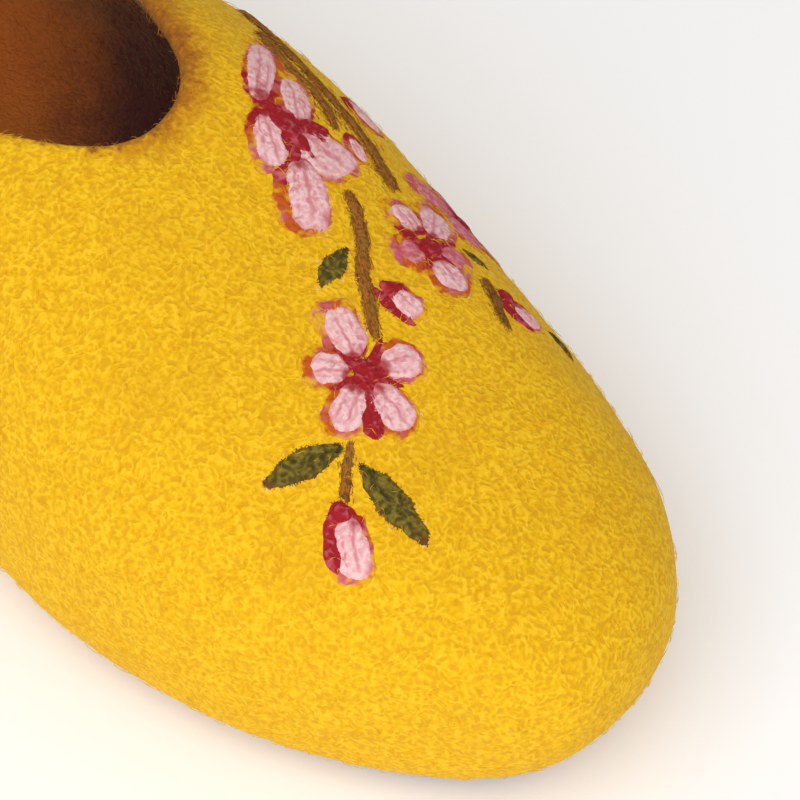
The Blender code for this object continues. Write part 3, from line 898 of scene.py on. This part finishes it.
class Patch:
    """A pad of wool, needled into the ground: its outline grows and gets ragged, and its dome flattens."""

    def __init__(self, node, name, ground, needling, ragged, fit=None, axis=None, shift=STILL):
        self.node = node
        self.piece = copy_node(node, name)
        smooth(self.piece)
        points = corners_of(self.piece)
        places, normals = ground.drop(points)
        heights = np.sum((points - places) * normals, axis=1, keepdims=True)
        heights = (heights - heights.min()) * needling.flatten + needling.lift
        up = unit(normals.mean(axis=0))
        own = patch_axis(node, points) if axis is None else np.array(axis)
        if np.dot(own, HEADINGS.get(node, own)) < 0:
            own = -own
        own = unit(own - up * np.dot(own, up))
        self.axis = np.array(HEADINGS.get(node, own)) if axis is None else own
        self.axis = unit(self.axis - up * np.dot(self.axis, up))
        self.aside = np.cross(up, self.axis)
        fit = fit or fit_of(node)

        flat = np.stack([places @ own, places @ np.cross(up, own)], axis=1)
        half = np.ptp(flat, axis=0) / 2
        middle = flat.min(axis=0) + half
        flat = (flat - middle) / half
        power = needling.square
        corner = np.sum(np.abs(unit(flat)) ** power, axis=1, keepdims=True) ** (-1 / power)
        self.half = half * (fit.length, fit.width) + needling.grow
        laid = flat * self.half * corner
        laid[:, 1] *= 1 + needling.root * np.clip(-flat[:, 0], 0, 1)
        root = own * middle[0] + np.cross(up, own) * middle[1]
        self.middle = np.array((root @ self.axis, root @ self.aside))
        self.middle += (fit.tip + np.dot(shift, self.axis), fit.left + np.dot(shift, self.aside))
        laid += self.middle
        spread = np.outer(laid[:, 0], self.axis) + np.outer(laid[:, 1], self.aside)
        spread += np.outer(places @ up, up)
        spread += wander(spread, EDGE_WAVES, ragged)
        places, normals = ground.drop(spread)
        move_corners(self.piece, places + normals * heights)
        add_map(self.piece, self.map(places))
        rim = np.linalg.norm(flat, axis=1) > RIM_FROM
        self.rim = places[rim]
        self.rim_normals = normals[rim]

    def map(self, points):
        """Places on the patch: 0 to 1 from root to tip and from side to side."""
        flat = np.stack([points @ self.axis, points @ self.aside], axis=1)
        return ((flat - self.middle) / self.half + 1) / 2

    def comb(self, ground, spray, rng):
        """Lay fine strands over the patch and across its edge, and join them to it."""
        area = self.half[0] * self.half[1] * math.pi
        count = int(spray.strands * area * CM_IN_M**2)
        places, normals = scatter(self.piece, count, rng, upward)
        fan = np.outer(self.map(places)[:, 1] - 0.5, self.aside)
        headings = along_skin(self.axis + fan, normals, rng, COMB_LOOSE)
        edge = 2 * math.pi * np.sqrt(np.mean(self.half**2))
        picked = rng.choice(len(self.rim), int(spray.fringe * edge * CM_IN_M))
        outward = unit(self.rim[picked] - self.rim.mean(axis=0))
        fringe = along_skin(outward, self.rim_normals[picked], rng, FRINGE_LOOSE)
        places = np.concatenate([places, self.rim[picked]])
        headings = np.concatenate([headings, fringe])
        lengths = np.full((len(places), 1, 1), spray.strand_length)
        lengths[count:] *= FRINGE_SHARE
        sizes = (lengths, spray.strand_width, COMB_RISE * spray.strand_width)
        tones = np.zeros(len(places))
        coat = lay_strands("combed", ground, places, headings, sizes, MATTED, tones, rng)
        add_map(coat, self.map(corners_of(coat)))
        join([self.piece, coat])


def red_streaks(blossom, petals, ground, ragged):
    """Streaks of red wool that run out between the petals of a blossom."""
    heart = middle_of(blossom + "_centre")
    rays = [unit(middle_of(petal.node) - heart) for petal in petals]
    reach = np.mean([petal.half[0] for petal in petals])
    core = np.ptp(np.array(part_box(blossom + "_centre")), axis=0)[:2].mean() / 2
    order = sorted(range(len(rays)), key=lambda number: math.atan2(rays[number][1], rays[number][0]))
    made = []
    for here, after in zip(order, order[1:] + order[:1]):
        between = rays[here] + rays[after]
        if np.linalg.norm(between) > NEIGHBOURS:
            long, wide = SHORT_STREAK if blossom == "throat_blossom" else STREAK_SIZE
            if {petals[here].node, petals[after].node} == WEDGE_PETALS:
                long, wide = WEDGE_SIZE
            fit = Fit(long * reach / core, wide, (long + STREAK_START) * reach, 0.0)
            name = f"{blossom}_streak_{len(made)}"
            made.append(Patch(blossom + "_centre", name, ground, STREAK, ragged, fit, between))
    return made


def sepal(bud, ground, ragged):
    """Red wool that runs from a bud's calyx down one side of the bud."""
    calyx = bud.node + "_calyx"
    fit = SEPAL._replace(tip=SEPAL.tip * bud.half[0], left=SEPAL.left * bud.half[1])
    return Patch(calyx, bud.node + "_sepal", ground, STREAK, ragged, fit, bud.axis)


def press(piece, lay, ground):
    """Press a branch into the ground and fray it a little."""
    apply_modifier(piece, "DISPLACE", strength=lay.widen, mid_level=0.0)
    points = corners_of(piece)
    heel_ward = points[:, 1].max() - points[:, 1:2]
    points += heel_ward / heel_ward.max() * lay.lean
    axis = long_axis(points)
    points += np.outer((points - points.mean(axis=0)) @ axis, axis) * (lay.stretch - 1)
    places, normals = ground.drop(points)
    heights = np.sum((points - places) * normals, axis=1, keepdims=True)
    heights = np.clip(heights, 0.0, BARK_HEIGHT) * BARK_FLATTEN - BARK_SINK
    places, normals = ground.drop(places + wander(places, *BARK_WAVES))
    move_corners(piece, places + normals * heights)


def fray(piece, lay, ground, spray, rng):
    """Lay fine strands along a branch, some of them off its sides, and join them to it."""
    points = corners_of(piece)
    axis = long_axis(points)
    count = int(spray.bark_strands * np.ptp(points @ axis) * CM_IN_M)
    places, normals = scatter(piece, count, rng, upward)
    offsets = rng.normal(0.0, lay.fray, (count, 1))
    places = places + np.cross(normals, axis) * offsets
    headings = along_skin(axis, normals, rng, BARK_LOOSE)
    sizes = strand_sizes(spray, *BARK_STRAND)
    tones = lay.tone + rng.uniform(*BARK_TONES, count) + SIDE_TONE * np.abs(offsets[:, 0]) / lay.fray
    coat = lay_strands("frayed", ground, places, headings, sizes, MATTED, tones, rng)
    add_numbers(piece, "tone", np.full(len(points), lay.tone))
    join([piece, coat])


def lay_wisps(patches, ground, spray, rng):
    """Wisps that lie along the edges of patches, apart from red ones."""
    starts = []
    headings = []
    for patch in patches:
        if SLOTS[patch.node] == "red_wool":
            continue
        outer = np.flatnonzero(patch.map(patch.rim)[:, 0] > WISP_FROM)
        picked = rng.choice(outer, spray.wisps)
        normals = patch.rim_normals[picked]
        outward = unit(patch.rim[picked] - patch.rim.mean(axis=0))
        headings.append(along_skin(np.cross(normals, outward), normals, rng, WISP_LOOSE))
        starts.append(patch.rim[picked] + outward * rng.normal(*WISP_PLACE, (spray.wisps, 1)))
    starts = np.concatenate(starts)
    sizes = strand_sizes(spray, *WISP)
    tones = rng.random(len(starts))
    return lay_strands("edge_wisps", ground, starts, np.concatenate(headings), sizes, MATTED, tones, rng)


# Operators
class SLIPPER_OT_shell(bpy.types.Operator):
    """Make the felted shell, yellow outside and brown inside"""

    bl_idname = "slipper.shell"
    bl_label = "Felted shell"

    def execute(self, context):
        felt = context.scene.slipper_felt
        shell = copy_node("upper", "felt_shell")
        smooth(shell)
        lump(shell, "felt_lumps", felt.lump_size, felt.lump_rise)
        lump(shell, "felt_knots", felt.knot_size, felt.knot_rise)
        points = corners_of(shell)
        for push in PUSHES:
            away = np.sum((points - push.middle) ** 2, axis=1, keepdims=True)
            points += np.exp(-away / (2 * push.reach**2)) * push.move
        move_corners(shell, points)
        inward = inward_of(points, read(shell.data.vertices, "normal", 3))
        add_numbers(shell, "inward", inward)
        add_numbers(shell, "rim", rim_distance(shell, points))
        ride(shell, shell_finish(felt), "yellow_felt", "upper")
        return {"FINISHED"}


class SLIPPER_OT_strands(bpy.types.Operator):
    """Lay felted strands and stray hairs over the shell"""

    bl_idname = "slipper.strands"
    bl_label = "Strands and hairs"

    def execute(self, context):
        felt = context.scene.slipper_felt
        shell = bpy.data.objects["felt_shell"]
        ground = Ground(shell)

        def outside(places, normals):
            return (inward_of(places, normals) < OUTER_TURN) * (normals[:, 2] > OUTER_DOWN)

        def near_rim(places, normals):
            return np.exp(-rim_distance(shell, places) / RIM_HAIR_SPREAD)

        strand = (felt.strand_length, felt.strand_width, felt.strand_rise)
        hair = (felt.hair_length, felt.hair_width, felt.hair_width)
        plan = {
            "felt_strands_under": (felt.strands, strand, outside),
            "felt_strands_over": (felt.strands, strand, outside),
            "stray_hairs": (felt.hairs, hair, outside),
            "rim_hairs": (felt.rim_hairs, hair, near_rim),
        }
        for name, (count, usual, where) in plan.items():
            rng = np.random.default_rng(COATS[name].seed)
            places, normals = scatter(shell, count, rng, where)
            laid = lay_coat(name, ground, places, normals, usual, rng)
            points = corners_of(laid)
            add_numbers(laid, "inward", np.full(len(points), -1.0))
            add_numbers(laid, "rim", rim_distance(shell, points))
            ride(laid, shell.data.materials[0], "yellow_felt")
        return {"FINISHED"}


class SLIPPER_OT_lining(bpy.types.Operator):
    """Lay brown strands over the lining and the insole"""

    bl_idname = "slipper.lining"
    bl_label = "Lining strands"

    def execute(self, context):
        felt = context.scene.slipper_felt
        shell = bpy.data.objects["felt_shell"]
        insole = bpy.data.objects["felt_insole"]
        ground = Ground(shell, insole)
        rng = np.random.default_rng(COATS["lining_strands"].seed)

        def inside(places, normals):
            return (inward_of(places, normals) > LINING_TURN) * (normals[:, 2] > LINING_DOWN)

        spots = []
        for piece, share in zip((shell, insole), LINING_SHARES):
            spots.append(scatter(piece, int(share * felt.lining_strands), rng, inside))
        places, normals = (np.concatenate(part) for part in zip(*spots))
        usual = (felt.strand_length, felt.strand_width, felt.strand_rise)
        coat = lay_coat("lining_strands", ground, places, normals, usual, rng)
        ride(coat, insole.data.materials[0], "brown_felt")
        return {"FINISHED"}


class SLIPPER_OT_sole(bpy.types.Operator):
    """Make the suede sole and the felt insole"""

    bl_idname = "slipper.sole"
    bl_label = "Sole and insole"

    def execute(self, context):
        felt = context.scene.slipper_felt
        sole = copy_node("sole", "suede_sole")
        bevel(sole, SOLE_BEVEL)
        ride(sole, suede_finish(felt), "brown_suede", "sole")
        insole = copy_node("insole", "felt_insole")
        bevel(insole, INSOLE_BEVEL)
        points = corners_of(insole)
        middle = points.mean(axis=0)
        move_corners(insole, middle + (points - middle) * INSOLE_STRETCH)
        ride(insole, insole_finish(felt), "brown_felt", "insole")
        return {"FINISHED"}


class SLIPPER_OT_spray(bpy.types.Operator):
    """Needle the cherry spray into the vamp"""

    bl_idname = "slipper.spray"
    bl_label = "Cherry spray"

    def execute(self, context):
        spray = context.scene.slipper_spray
        felt = context.scene.slipper_felt
        ground = Ground(bpy.data.objects["felt_shell"])
        materials = {
            "pale_pink_wool": petal_finish("pale_pink_wool", spray, spray.pale_pink, spray.light_pink),
            "deep_pink_wool": petal_finish("deep_pink_wool", spray, spray.rose, spray.deep_pink),
            "red_wool": heart_finish(spray),
            "olive_wool": leaf_finish(spray, felt),
            "brown_wool": bark_finish(spray),
        }
        patches = []
        blushes = []
        pieces = {}
        for node in sorted(SLOTS):
            slot = SLOTS[node]
            if slot in NEEDLING:
                needling = BUD if node.endswith("_bud") else NEEDLING[slot]
                patch = Patch(node, node + "_wool", ground, needling, spray.ragged)
                patches.append(patch)
                pieces[node] = patch.piece
            elif slot == "brown_wool":
                pieces[node] = copy_node(node, node + "_wool")
                smooth(pieces[node])
                press(pieces[node], LAYS.get(node, PLAIN_LAY), ground)
            if "pink" in slot:
                usual = (spray.blush_reach, spray.blush_side)
                reach, side = mm(*HALOS[node]) if node in HALOS else usual
                around = BLUSH._replace(grow=reach)
                shift = TOE_WARD * -side
                ragged = BLUSH_RAGGED * spray.ragged
                blushes.append(Patch(node, node + "_blush", ground, around, ragged, shift=shift).piece)

        for name in BLOSSOMS:
            own = [patch for patch in patches if patch.node.startswith(name + "_petal_")]
            streaks = [streak.piece for streak in red_streaks(name, own, ground, spray.ragged)]
            join([pieces[name + "_centre"], *streaks])
        for patch in patches:
            if patch.node in BUDS:
                join([pieces[patch.node + "_calyx"], sepal(patch, ground, spray.ragged).piece])

        whole = Ground(bpy.data.objects["felt_shell"], *pieces.values())
        rng = np.random.default_rng(SPRAY_SEED)
        for patch in patches:
            patch.comb(whole, spray, rng)
        for node, piece in pieces.items():
            if SLOTS[node] == "brown_wool":
                fray(piece, LAYS.get(node, PLAIN_LAY), whole, spray, rng)
        for node, piece in pieces.items():
            # Painted shade: the far blossom lies in shade at the silhouette, so all its petals take the
            # deep pink finish
            finish = "deep_pink_wool" if node.startswith("far_blossom_petal") else SLOTS[node]
            ride(piece, materials[finish], SLOTS[node], node)
        blush = join(blushes)
        blush.name = "petal_blush"
        ride(blush, blush_finish(spray, felt), "red_wool")

        wisps = lay_wisps(patches, whole, spray, rng)
        ride(wisps, strand_finish("edge_wisps", felt.yellow, spray.peach), "yellow_felt")
        return {"FINISHED"}


class SLIPPER_OT_stage(bpy.types.Operator):
    """Set up the floor, the soft studio light and the camera"""

    bl_idname = "slipper.stage"
    bl_label = "Stage"

    def execute(self, context):
        scene = context.scene
        stage = scene.slipper_stage
        scene.view_settings.view_transform = "Standard"

        bpy.ops.object.select_all(action="DESELECT")
        cells = {"x_subdivisions": FLOOR_CELLS, "y_subdivisions": FLOOR_CELLS}
        bpy.ops.mesh.primitive_grid_add(size=stage.floor_size, **cells)
        floor = context.object
        floor.name = "floor"
        paper = Finish("pale_floor", sheen=0.0)
        paper.feed(paper.shader.inputs["Emission Color"], WHITE)
        paper.feed(paper.shader.inputs["Emission Strength"], stage.floor_glow)
        tint = paper.grain(0.002, detail=2.0).step(0.3, 0.7)
        paper.start(tint * 0.1, stage.floor, WHITE)
        floor.data.materials.append(paper.done())

        world = bpy.data.worlds.new("studio")
        world.use_nodes = True
        sky = world.node_tree.nodes["Background"]
        sky.inputs["Color"].default_value = (*WHITE, 1.0)
        sky.inputs["Strength"].default_value = stage.sky
        scene.world = world

        turn = stage.azimuth
        flat = math.cos(stage.elevation)
        back = Vector((math.sin(turn) * flat, math.cos(turn) * flat, math.sin(stage.elevation)))
        aim = Vector(stage.aim)
        data = bpy.data.cameras.new("camera")
        data.lens = stage.lens
        data.clip_start = 10 * MM
        camera = place("camera", data)
        camera.location = aim + back * stage.distance
        camera.rotation_euler = back.to_track_quat("Z", "Y").to_euler()
        scene.camera = camera

        up = Vector((0.0, 0.0, 1.0))
        right = up.cross(back).normalized()
        toward = Vector((back.x, back.y, 0.0)).normalized()
        way = toward * LAMP_WAY[0] + right * LAMP_WAY[1] + up * LAMP_WAY[2]
        lamp = bpy.data.lights.new("key", "AREA")
        lamp.energy = stage.key_power
        lamp.size = LAMP_SIZE
        key = place("key", lamp)
        key.location = aim + way * LAMP_DISTANCE
        key.rotation_euler = way.to_track_quat("Z", "Y").to_euler()
        return {"FINISHED"}


class SLIPPER_PT_panel(bpy.types.Panel):
    """Buttons for each step"""

    bl_idname = "SLIPPER_PT_panel"
    bl_label = "Felt slipper"
    bl_space_type = "VIEW_3D"
    bl_region_type = "UI"
    bl_category = "Slipper"

    def draw(self, context):
        for step in STEPS:
            self.layout.operator(step.bl_idname)


GROUPS = {"slipper_felt": FeltSettings, "slipper_spray": SpraySettings, "slipper_stage": StageSettings}
STEPS = (
    SLIPPER_OT_stage,
    SLIPPER_OT_shell,
    SLIPPER_OT_sole,
    SLIPPER_OT_spray,
    SLIPPER_OT_strands,
    SLIPPER_OT_lining,
)
CLASSES = (*GROUPS.values(), *STEPS, SLIPPER_PT_panel)


def register():
    for item in CLASSES:
        bpy.utils.register_class(item)
    for name, group in GROUPS.items():
        setattr(bpy.types.Scene, name, bpy.props.PointerProperty(type=group))


def unregister():
    for name in GROUPS:
        delattr(bpy.types.Scene, name)
    for item in reversed(CLASSES):
        bpy.utils.unregister_class(item)


def main():
    register()
    bpy.ops.slipper.stage()
    bpy.ops.slipper.shell()
    bpy.ops.slipper.sole()
    bpy.ops.slipper.spray()
    bpy.ops.slipper.strands()
    bpy.ops.slipper.lining()


if __name__ == "__main__":
    main()
